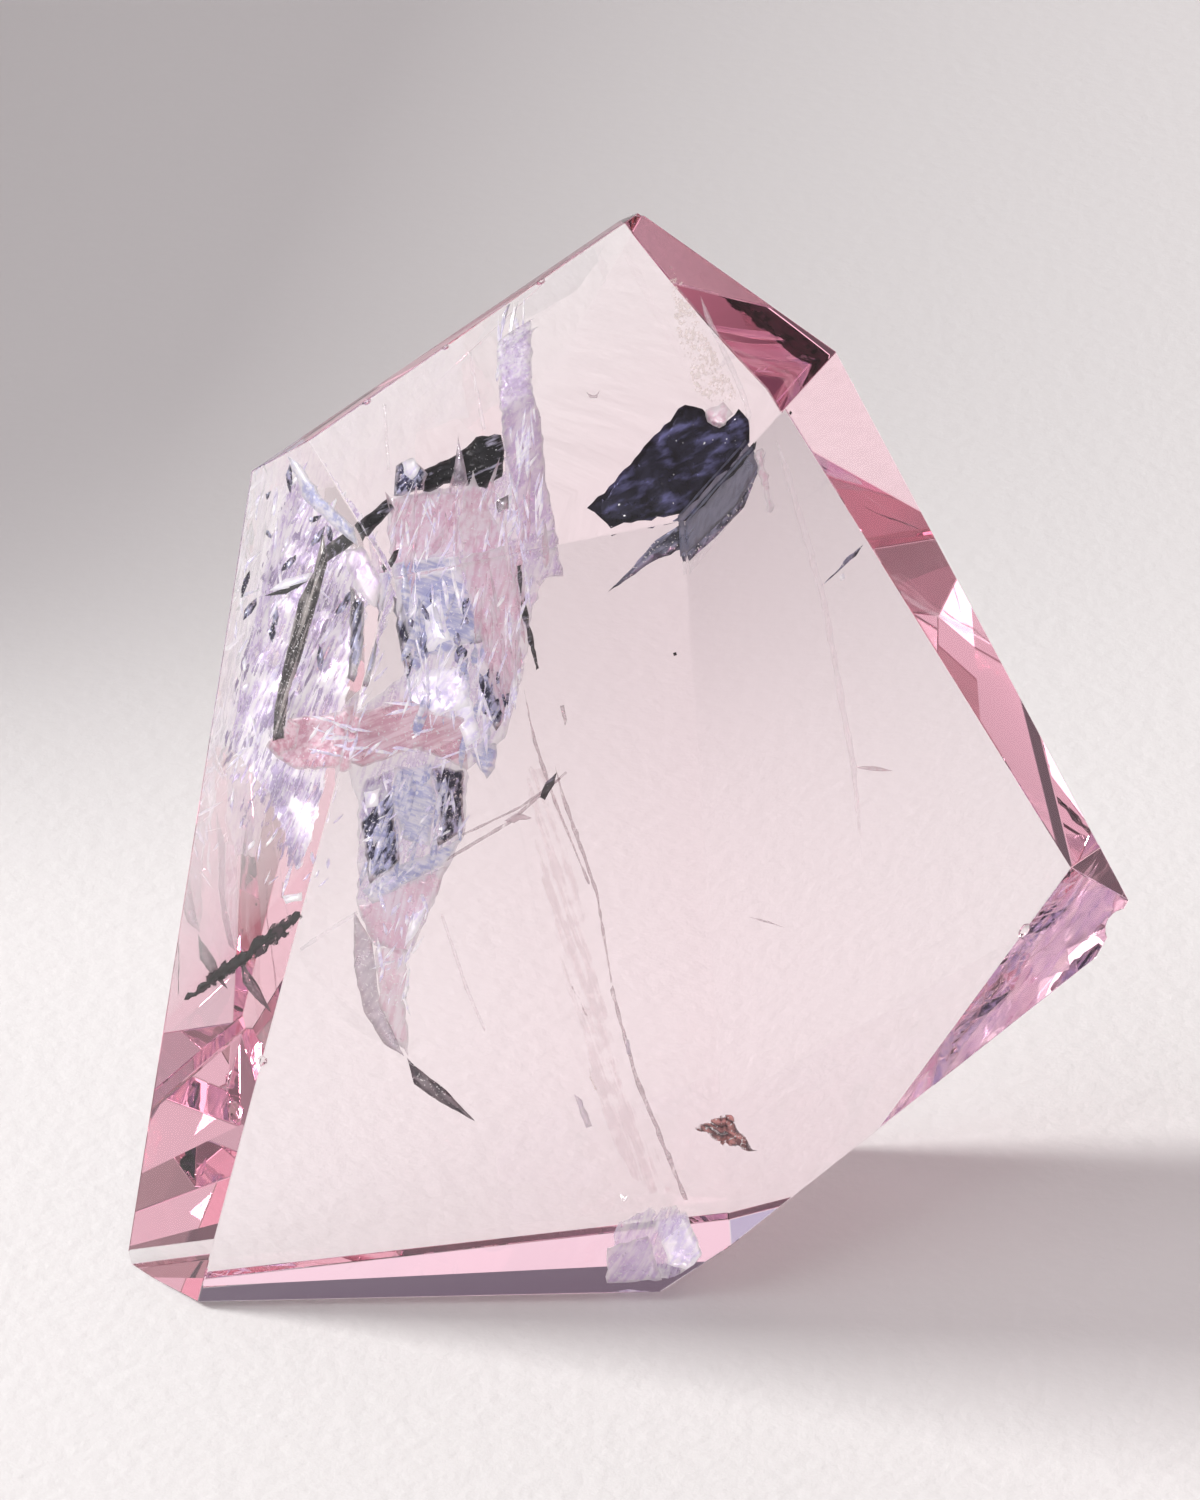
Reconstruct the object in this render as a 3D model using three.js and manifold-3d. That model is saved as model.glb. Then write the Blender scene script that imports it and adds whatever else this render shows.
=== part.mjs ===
// A freeform of rose quartz: one piece of clear pink crystal, sawn and polished to flat facets.
// It stands upright on a narrow base. Millimetres, +Z up, -Y towards the viewer, and the
// origin under the middle of the stone, on the surface that it stands on.
import * as THREE from 'three';
import { mergeVertices } from 'three/addons/utils/BufferGeometryUtils.js';
import Module from 'manifold-3d';

const wasm = await Module();
wasm.setup();

// The sawn block that the stone is cut from.
const BLOCK_WIDTH = 70;
const BLOCK_DEPTH = 50;
const BLOCK_HEIGHT = 70;

// Every facet is set by the way it faces and by its reach, its distance from the heart of the
// stone. Azimuth 0 faces the viewer and 90 faces the stone's right, both in degrees.
const HEART = new THREE.Vector3(0, 0, 24.5);
const FACETS = {
  mainFront: { azimuth: 1.3, elevation: 3, reach: 9.01 },
  rightFront: { azimuth: 34.5, elevation: 4.5, reach: 9.59 },
  leftFront: { azimuth: -47.3, elevation: 12.8, reach: 18.6 },
  top: { azimuth: -11.6, elevation: 48.9, reach: 21.35 },
  topLeftSliver: { azimuth: -116.6, elevation: 51.7, reach: 27.32 },
  mainBack: { azimuth: -162.6, elevation: -5.3, reach: 4.35 },
  rightBevel: { azimuth: 134.5, elevation: 25.2, reach: 17.82 },
  leftBevel: { azimuth: -101.4, elevation: 7.8, reach: 22.17 },
  lowerRightUnderside: { azimuth: 59.8, elevation: -47.9, reach: 22.12 },
  lowerRightBevel: { azimuth: 142.5, elevation: -39.6, reach: 22.62 },
  backFoot: { azimuth: -162.6, elevation: -35, reach: 15.47 },
  frontSole: { azimuth: 7.2, elevation: -84.4, reach: 24.84 },
};

// A grinding block, large enough to take off everything in front of a facet.
const GRINDER = 120;

// Small shells broken out of the sharp edges. Each lies on an edge at the given point, and
// lift is how far the middle of its round bed stands out from that edge.
const NICKS = {
  rightTip: { at: [26.64, 5.67, 14.25], outward: [0.86, -0.18, -0.47], radius: 1.0, lift: 0.5 },
  lowerBackEdge: { at: [19.8, 9.65, 12.83], outward: [0.1, 0.9, -0.43], radius: 0.5, lift: 0.2 },
  leftFrontEdge: { at: [-19.65, -9.96, 15.2], outward: [-0.36, -0.92, 0.15], radius: 0.36, lift: 0.14 },
  sliverLow: { at: [-13.81, -0.7, 49.82], outward: [-0.39, -0.22, 0.89], radius: 0.3, lift: 0.12 },
  sliverMiddle: { at: [-9.74, 1.1, 52.05], outward: [-0.39, -0.22, 0.89], radius: 0.22, lift: 0.08 },
  sliverHigh: { at: [-4.82, 3.26, 54.76], outward: [-0.39, -0.22, 0.89], radius: 0.32, lift: 0.14 },
  apex: { at: [0.36, 5.5, 57.58], outward: [0, -0.2, 0.98], radius: 0.3, lift: 0.12 },
};
const NICK_DETAIL = 1;

const STONE_COLOUR = 0xf0c4cb;
const STONE_ROUGHNESS = 0.04;

// The unit vector that a facet faces along.
function facing({ azimuth, elevation }) {
  const turn = THREE.MathUtils.degToRad(azimuth);
  const tilt = THREE.MathUtils.degToRad(elevation);
  const level = Math.cos(tilt);
  return new THREE.Vector3(Math.sin(turn) * level, -Math.cos(turn) * level, Math.sin(tilt));
}

// A closed geometry as a solid that can be joined and cut.
function solidOf(geometry) {
  geometry.deleteAttribute('normal');
  geometry.deleteAttribute('uv');
  const merged = mergeVertices(geometry);
  const vertProperties = new Float32Array(merged.attributes.position.array);
  const triVerts = new Uint32Array(merged.index.array);
  return new wasm.Manifold(new wasm.Mesh({ numProp: 3, vertProperties, triVerts }));
}

// A solid as a geometry again.
function geometryOf(solid) {
  const { vertProperties, triVerts } = solid.getMesh();
  const geometry = new THREE.BufferGeometry();
  geometry.setAttribute('position', new THREE.BufferAttribute(vertProperties, 3));
  geometry.setIndex(new THREE.BufferAttribute(triVerts, 1));
  return geometry;
}

// The block before it is cut, with its flat underside as the base of the stone.
function sawnBlock() {
  const block = new THREE.BoxGeometry(BLOCK_WIDTH, BLOCK_DEPTH, BLOCK_HEIGHT);
  block.translate(0, 0, BLOCK_HEIGHT / 2);
  return solidOf(block);
}

// What is ground away to make one facet.
function groundAway(facet) {
  const outward = facing(facet);
  const waste = new THREE.BoxGeometry(GRINDER, GRINDER, GRINDER);
  waste.applyQuaternion(new THREE.Quaternion().setFromUnitVectors(new THREE.Vector3(0, 0, 1), outward));
  const middle = HEART.clone().addScaledVector(outward, facet.reach + GRINDER / 2);
  waste.translate(middle.x, middle.y, middle.z);
  return solidOf(waste);
}

// The bed of one nick, a rounded shell as crystal breaks.
function brokenShell({ at, outward, radius, lift }) {
  const bed = new THREE.IcosahedronGeometry(radius, NICK_DETAIL);
  const middle = new THREE.Vector3(...at).addScaledVector(new THREE.Vector3(...outward).normalize(), lift);
  bed.translate(middle.x, middle.y, middle.z);
  return solidOf(bed);
}

// The whole stone, with every facet ground and every nick broken out.
function cutStone() {
  const wastes = Object.values(FACETS).map(groundAway);
  const shells = Object.values(NICKS).map(brokenShell);
  return [...wastes, ...shells].reduce((stone, waste) => stone.subtract(waste), sawnBlock());
}

// Clear pink crystal with a polish.
function roseQuartz() {
  return new THREE.MeshStandardMaterial({
    color: STONE_COLOUR,
    roughness: STONE_ROUGHNESS,
    metalness: 0,
    flatShading: true,
  });
}

// Moves a geometry so that the middle of its footprint is over the origin and it rests on Z = 0.
function standAtOrigin(geometry) {
  geometry.computeBoundingBox();
  const { min, max } = geometry.boundingBox;
  geometry.translate(-(min.x + max.x) / 2, -(min.y + max.y) / 2, -min.z);
  return geometry;
}

const stone = new THREE.Mesh(standAtOrigin(geometryOf(cutStone())), roseQuartz());
stone.name = 'rose_quartz';

const object = new THREE.Group();
object.add(stone);

export default object;
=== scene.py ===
"""Looks of a polished rose quartz freeform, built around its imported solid.

The stone is one clear, faintly pink piece with flat polished facets. Inside it lie a stepped
break, healed veils, dark striated blades and a navy flake, all of them placed along the lines
of sight that the facets bend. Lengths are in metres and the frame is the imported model's own.
"""

import logging
import math
import random
from dataclasses import dataclass, field
from enum import Enum
from typing import Any, Iterator, Sequence

import bpy
from mathutils import Euler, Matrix, Vector, geometry, noise


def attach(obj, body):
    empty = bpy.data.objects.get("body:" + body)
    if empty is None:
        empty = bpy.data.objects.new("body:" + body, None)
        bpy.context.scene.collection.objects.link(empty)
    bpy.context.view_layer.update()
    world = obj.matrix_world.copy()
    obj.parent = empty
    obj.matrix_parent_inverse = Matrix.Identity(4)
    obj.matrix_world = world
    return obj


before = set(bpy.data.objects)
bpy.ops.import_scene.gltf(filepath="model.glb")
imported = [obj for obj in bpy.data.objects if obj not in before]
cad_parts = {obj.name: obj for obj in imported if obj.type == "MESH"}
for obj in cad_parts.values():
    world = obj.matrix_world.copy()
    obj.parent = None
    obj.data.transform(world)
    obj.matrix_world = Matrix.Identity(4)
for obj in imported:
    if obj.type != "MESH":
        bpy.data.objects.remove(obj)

LOG = logging.getLogger("rose_quartz")
MM = 0.001
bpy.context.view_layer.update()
BODY = "root"
STONE_NODE = "rose_quartz"
QUARTZ_INDEX = 1.544

# White of the painted glints and of the painted highlight on broken edges.
WHITE_GLINT = (1.0, 1.0, 1.0)
NEARLY_ZERO = 1e-6

Number = float | int
Triple = tuple[float, float, float]
Spot = tuple[float, float]
Outline = tuple[Spot, ...]


class Signal:
    """One output socket of a shader, with arithmetic that adds Math nodes."""

    def __init__(self, graph: "Graph", socket: bpy.types.NodeSocket) -> None:
        """Keeps the graph and the socket."""
        self.graph = graph
        self.socket = socket

    def _math(self, operation: str, *operands: "Signal | Number") -> "Signal":
        """Adds one Math node over the operands."""
        return self.graph.node("ShaderNodeMath", {"operation": operation}, dict(enumerate(operands)))

    def __add__(self, other: "Signal | Number") -> "Signal":
        """Sum."""
        return self._math("ADD", self, other)

    def __radd__(self, other: Number) -> "Signal":
        """Sum, reflected."""
        return self._math("ADD", other, self)

    def __sub__(self, other: "Signal | Number") -> "Signal":
        """Difference."""
        return self._math("SUBTRACT", self, other)

    def __rsub__(self, other: Number) -> "Signal":
        """Difference, reflected."""
        return self._math("SUBTRACT", other, self)

    def __mul__(self, other: "Signal | Number") -> "Signal":
        """Product."""
        return self._math("MULTIPLY", self, other)

    def __rmul__(self, other: Number) -> "Signal":
        """Product, reflected."""
        return self._math("MULTIPLY", other, self)

    def band(self, low: float, high: float) -> "Signal":
        """Smooth step from 0 at low to 1 at high.

        Args:
            low: value at which the step starts.
            high: value at which it is complete.

        Returns:
            The stepped signal.
        """
        settings = {"interpolation_type": "SMOOTHSTEP"}
        limits = {"Value": self, "From Min": low, "From Max": high}
        return self.graph.node("ShaderNodeMapRange", settings, limits)


class Graph:
    """The node tree of one material or world."""

    def __init__(self, tree: bpy.types.NodeTree) -> None:
        """Empties the tree."""
        self.tree = tree
        tree.nodes.clear()

    def node(self, kind: str, settings: dict[str, Any] | None = None,
             inputs: dict[Any, Any] | None = None, out: int | str = 0) -> Signal:
        """Adds a node.

        Args:
            kind: Blender's type name.
            settings: attributes that are set before the sockets, such as an operation.
            inputs: values or signals by socket name or number.
            out: the output that the signal wraps.

        Returns:
            The chosen output as a signal.
        """
        made = self.tree.nodes.new(kind)
        for name, value in (settings or {}).items():
            if name == "stops":
                self._stops(made, value)
            else:
                setattr(made, name, value)
        for name, value in (inputs or {}).items():
            if isinstance(value, Signal):
                self.tree.links.new(value.socket, made.inputs[name])
            else:
                made.inputs[name].default_value = value
        return Signal(self, made.outputs[out] if made.outputs else made.inputs[0])

    @staticmethod
    def _stops(ramp: bpy.types.Node, stops: Sequence[tuple[float, Triple]]) -> None:
        """Sets the stops of a colour ramp.

        Args:
            ramp: the colour ramp's node.
            stops: a place and a colour for each stop.
        """
        elements = ramp.color_ramp.elements
        while len(elements) < len(stops):
            elements.new(1.0)
        for element, (place, colour) in zip(elements, stops):
            element.position = place
            element.color = (*colour, 1.0)

    def mix(self, factor: Signal | float, first: Any, second: Any) -> Signal:
        """Blends two colours.

        Args:
            factor: share of the second colour.
            first: colour or signal at factor 0.
            second: colour or signal at factor 1.

        Returns:
            The blended colour.
        """
        return self.node("ShaderNodeMix", {"data_type": "RGBA"}, {0: factor, 6: first, 7: second}, out=2)

    def place(self) -> Signal:
        """Object coordinates, in metres."""
        return self.node("ShaderNodeTexCoord", out="Object")

    def grain(self, scale: float, detail: float = 2.0, stretch: Triple = (1.0, 1.0, 1.0),
              turn: Triple = (0.0, 0.0, 0.0)) -> Signal:
        """Noise over the object's own coordinates.

        Args:
            scale: features per metre.
            detail: octaves.
            stretch: how many times longer the features are along the turned X, Y and Z.
            turn: rotation of the pattern in radians.

        Returns:
            A value about 0.5.
        """
        mapped = self.node("ShaderNodeMapping", {"vector_type": "TEXTURE"},
                           {"Vector": self.place(), "Rotation": turn, "Scale": stretch})
        return self.node("ShaderNodeTexNoise", None, {"Vector": mapped, "Scale": scale, "Detail": detail})

    def bump(self, height: Signal, strength: float, distance: float) -> Signal:
        """A bumped normal from a height signal."""
        values = {"Height": height, "Strength": strength, "Distance": distance}
        return self.node("ShaderNodeBump", None, values)


def colour(*rgb: float) -> tuple[float, float, float, float]:
    """An opaque colour from linear red, green and blue."""
    return (*rgb, 1.0)


def seen(*rgb: int) -> Triple:
    """Linear red, green and blue of a colour given as it is seen, from 0 to 255, by the sRGB curve."""
    return tuple(part / 12.92 if part < 0.04045 else ((part + 0.055) / 1.055) ** 2.4
                 for part in (value / 255 for value in rgb))


def facing(azimuth: float, elevation: float) -> Vector:
    """The unit vector of a direction, with azimuth 0 towards the viewer and 90 to the stone's right."""
    turn, rise = math.radians(azimuth), math.radians(elevation)
    return Vector((math.sin(turn) * math.cos(rise), -math.cos(turn) * math.cos(rise), math.sin(rise)))


def empty_material(name: str) -> tuple[bpy.types.Material, Graph]:
    """Makes a material with an empty node tree.

    Args:
        name: name of the material.

    Returns:
        The material and the graph of its nodes.
    """
    material = bpy.data.materials.new(name)
    material.use_nodes = True
    return material, Graph(material.node_tree)


@dataclass(frozen=True)
class ClearQuartz:
    """Finish of the clear stone: plain transmission, index and absorption."""

    name: str = "clear_rose_quartz"
    index: float = QUARTZ_INDEX
    absorption_colour: Triple = (0.90, 0.05, 0.30)
    absorption_density: float = 10.0
    polish_wave: float = 90.0
    polish_strength: float = 0.4
    polish_height: float = 0.0002 * MM

    def material(self) -> bpy.types.Material:
        """The finish as a Blender material.

        Returns:
            A transmissive material with absorption in its volume.
        """
        material, graph = empty_material(self.name)
        wave = graph.bump(graph.grain(self.polish_wave, 1.0), self.polish_strength, self.polish_height)
        surface = graph.node("ShaderNodeBsdfPrincipled", None, {
            "Base Color": colour(1.0, 1.0, 1.0), "Roughness": 0.0, "IOR": self.index,
            "Transmission Weight": 1.0, "Normal": wave})
        volume = graph.node("ShaderNodeVolumeAbsorption", None, {
            "Color": colour(*self.absorption_colour), "Density": self.absorption_density})
        graph.node("ShaderNodeOutputMaterial", None, {"Surface": surface, "Volume": volume})
        return material


@dataclass(frozen=True)
class Paper:
    """Finish of the pale floor: fine-grained matt paper."""

    name: str = "pale_paper"
    tone: Triple = (0.78, 0.772, 0.768)
    grain_per_metre: float = 900.0
    grain_height: float = 0.15 * MM
    grain_strength: float = 0.5
    roughness: float = 0.9

    def material(self) -> bpy.types.Material:
        """The finish as a Blender material.

        Returns:
            A matt material with a fine paper grain.
        """
        material, graph = empty_material(self.name)
        height = graph.grain(self.grain_per_metre, 3.0)
        surface = graph.node("ShaderNodeBsdfPrincipled", None, {
            "Base Color": colour(*self.tone), "Roughness": self.roughness,
            "Normal": graph.bump(height, self.grain_strength, self.grain_height)})
        graph.node("ShaderNodeOutputMaterial", None, {"Surface": surface})
        return material


@dataclass(frozen=True)
class Fracture:
    """Finish of a broken, healed or coated face inside the stone, streaked along one way.

    Shade and light are its two tones, metal and opacity how far it mirrors and covers, and polish
    the least and most roughness. Streaks, mottles and glints are noises, by features per metre;
    contrast, cover and glints are the noise values between which each one takes hold; the glints
    and the rim light are painted highlights in the colour. Lit is the strength of a painted glow,
    emission that stands in for the light that a sunlit crack scatters, which a renderer doesn't
    bring through the facets.
    """

    name: str
    shade: Triple
    light: Triple
    metal: float = 0.9
    opacity: float = 1.0
    polish: tuple[float, float] = (0.10, 0.40)
    streaks: float = 4200.0
    streak_length: float = 6.0
    turn: float = 60.0
    mottles: float = 900.0
    contrast: tuple[float, float] = (0.40, 0.60)
    cover: tuple[float, float] = (-1.0, -0.5)
    glints: tuple[float, float] = (0.62, 0.70)
    rim_light: float = 0.6
    hackle: float = 0.05 * MM
    hackle_strength: float = 0.8
    waviness: float = 1.0
    # strength of the painted glow: the fracture's own colour given off as emission
    lit: float = 0.0
    streak_share: float = 0.6
    glint_fineness: float = 1.7
    rim_step: tuple[float, float] = (0.5, 0.9)

    def material(self) -> bpy.types.Material:
        """The finish as a Blender material.

        The rim attribute is 0 on the outline of a face and rises to 1 inside it, so that the
        cover breaks up towards the outline. A painted highlight whitens the broken edge itself,
        white glints are painted into the colour, and the colour also glows by Lit as painted light.

        Returns:
            A material whose colour, roughness and cover follow streaks and mottles.
        """
        found = bpy.data.materials.get(self.name)
        if found:
            return found
        material, graph = empty_material(self.name)
        turned = (0.0, -math.radians(self.turn), 0.0)
        streak = graph.grain(self.streaks, 3.0, (self.streak_length, 1.0, 1.0), turned)
        mottle = graph.grain(self.mottles, 3.0)
        blend = streak * self.streak_share + mottle * (1.0 - self.streak_share)
        tone = graph.mix(blend.band(*self.contrast), colour(*self.shade), colour(*self.light))
        # Painted glints: fine noise turns spots of the colour white, as sparkles of reflected light.
        glint = graph.grain(self.streaks * self.glint_fineness, 1.0).band(*self.glints)
        edge = graph.node("ShaderNodeAttribute", {"attribute_name": "edge"}, out="Fac")
        rim = graph.node("ShaderNodeAttribute", {"attribute_name": "rim"}, out="Fac")
        # Painted highlight: the colour turns white along the broken edge, where light would catch it.
        bright = (edge * (streak + 0.5)).band(*self.rim_step) * self.rim_light
        tone = graph.mix(glint, tone, colour(*WHITE_GLINT))
        tone = graph.mix(bright, tone, colour(*WHITE_GLINT))
        cover = (blend + rim - 1.0).band(*self.cover) * self.opacity
        relief = streak + mottle * self.waviness
        # The tone is also emitted at Lit strength, a painted glow that stands in for scattered sunlight.
        surface = graph.node("ShaderNodeBsdfPrincipled", None, {
            "Base Color": tone, "Metallic": self.metal, "Alpha": cover,
            "Emission Color": tone, "Emission Strength": self.lit,
            "Roughness": mottle * (self.polish[1] - self.polish[0]) * 2.0 + self.polish[0] * 0.5,
            "Normal": graph.bump(relief, self.hackle_strength, self.hackle)})
        graph.node("ShaderNodeOutputMaterial", None, {"Surface": surface})
        return material


class Look(Enum):
    """Finishes of the faces inside the stone, with painted glints and rim highlights, and a painted glow
    where Lit is set.
    """

    WHITE = Fracture(
        "white_break", seen(232, 226, 248), seen(255, 255, 255), metal=0.4, opacity=0.75, waviness=2.0,
        lit=0.27)
    MASS = Fracture(
        "lilac_mass", seen(220, 204, 236), seen(255, 255, 255), metal=0.3, opacity=0.5, mottles=700.0,
        cover=(0.3, 0.48), glints=(0.56, 0.66), turn=74.0, waviness=2.0, lit=0.18)
    CLOUDS = Fracture(
        "left_clouds", seen(206, 190, 226), seen(255, 255, 255), metal=0.35, opacity=0.72, mottles=420.0,
        cover=(0.34, 0.46), glints=(0.58, 0.70), turn=70.0, waviness=3.0, lit=0.22)
    SHADES = Fracture(
        "left_shades", seen(84, 72, 112), seen(186, 172, 206), metal=0.6, opacity=0.75, mottles=520.0,
        cover=(0.53, 0.6), turn=70.0, rim_light=0.0, waviness=2.0, lit=0.06)
    LILAC = Fracture(
        "lilac_break", seen(226, 208, 238), seen(255, 248, 255), metal=0.35, opacity=0.6, waviness=2.0,
        lit=0.14)
    BLUE = Fracture(
        "blue_grey_break", seen(186, 192, 230), seen(250, 250, 255), metal=0.4, opacity=0.68, turn=-20.0,
        mottles=600.0, waviness=2.0, lit=0.16)
    INK = Fracture(
        "ink_break", seen(40, 38, 68), seen(214, 218, 246), contrast=(0.44, 0.60), turn=74.0,
        streak_length=12.0, waviness=2.0, lit=0.03)
    PINK = Fracture(
        "pink_break", seen(240, 204, 220), seen(255, 246, 252), metal=0.35, opacity=0.5, turn=78.0,
        waviness=2.0, streak_length=12.0, lit=0.15)
    RED = Fracture(
        "red_pink_ledge", seen(224, 168, 184), seen(255, 230, 238), metal=0.4, opacity=0.56, turn=24.0,
        streak_length=12.0, waviness=2.0, lit=0.12)
    BAR = Fracture(
        "striated_black", seen(14, 12, 18), seen(186, 184, 204), metal=0.6, contrast=(0.54, 0.66),
        streaks=5200.0, streak_length=24.0, turn=30.0, rim_light=0.1, glints=(0.7, 0.8))
    BLADE = Fracture(
        "striated_brown", seen(46, 40, 42), seen(206, 200, 196), metal=0.6, contrast=(0.44, 0.62),
        streaks=5200.0, streak_length=26.0, turn=72.0, rim_light=0.1)
    FEATHER = Fracture(
        "black_feather", seen(12, 8, 14), seen(74, 48, 62), metal=0.3, streaks=4200.0, streak_length=22.0,
        turn=35.0, cover=(0.36, 0.48), rim_light=0.0, glints=(0.9, 1.0))
    NEEDLE = Fracture(
        "grey_needle", seen(96, 90, 98), seen(176, 168, 174), metal=0.4, turn=-45.0, rim_light=0.0)
    NAVY = Fracture(
        "navy_flake", seen(22, 21, 38), seen(96, 96, 138), metal=0.8, contrast=(0.46, 0.70),
        polish=(0.2, 0.4), streaks=2200.0, streak_length=22.0, turn=38.0, rim_light=0.0, glints=(0.74, 0.8))
    STEEL = Fracture(
        "steel_sheet", seen(112, 116, 142), seen(146, 150, 176), metal=0.8, opacity=0.7,
        contrast=(0.3, 0.7), rim_light=0.0, glints=(0.9, 1.0))
    SLATE = Fracture(
        "slate_sheet", seen(50, 50, 72), seen(170, 172, 200), metal=0.8, opacity=0.92, turn=42.0,
        rim_light=0.0)
    MAROON = Fracture(
        "maroon_fan", seen(84, 36, 48), seen(248, 176, 170), metal=0.7, opacity=0.85, streaks=3600.0,
        turn=-35.0, cover=(0.28, 0.46), rim_light=0.0)
    FILM = Fracture(
        "grey_film", seen(190, 180, 196), seen(226, 216, 226), metal=1.0, opacity=0.5, contrast=(0.3, 0.7),
        rim_light=0.3, lit=0.08)
    CLOUD = Fracture(
        "white_cloud", seen(226, 220, 238), seen(255, 255, 255), metal=1.0, opacity=0.85, cover=(0.5, 0.62),
        mottles=1500.0, streak_length=3.0, turn=80.0, rim_light=0.0, lit=0.3)
    VEIL = Fracture(
        "pink_veil", seen(236, 190, 198), seen(255, 242, 244), metal=0.5, opacity=0.2, streaks=3200.0,
        streak_length=40.0, turn=-73.0, cover=(0.42, 0.58), rim_light=0.0, glints=(0.9, 1.0), lit=0.2)
    PEACH = Fracture(
        "peach_dots", seen(226, 180, 166), seen(255, 246, 238), metal=0.5, opacity=0.36, streaks=6000.0,
        streak_length=2.0, turn=80.0, cover=(0.47, 0.58), rim_light=0.0, lit=0.2)
    HAIR = Fracture(
        "fine_crack", seen(190, 152, 164), seen(230, 210, 216), metal=0.6, opacity=0.32, cover=(0.3, 0.5),
        rim_light=0.0)
    PALE_HAIR = Fracture(
        "pale_crack", seen(248, 232, 238), seen(255, 252, 255), metal=0.5, opacity=0.22, cover=(0.3, 0.5),
        rim_light=0.0, lit=0.25)
    SPECK = Fracture(
        "black_speck", seen(10, 8, 10), seen(40, 34, 38), metal=0.2, rim_light=0.0, glints=(0.9, 1.0))


@dataclass(frozen=True)
class Glow:
    """One soft patch of the surroundings, bright or dark."""

    azimuth: float
    elevation: float
    radius: float
    tone: Triple


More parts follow.
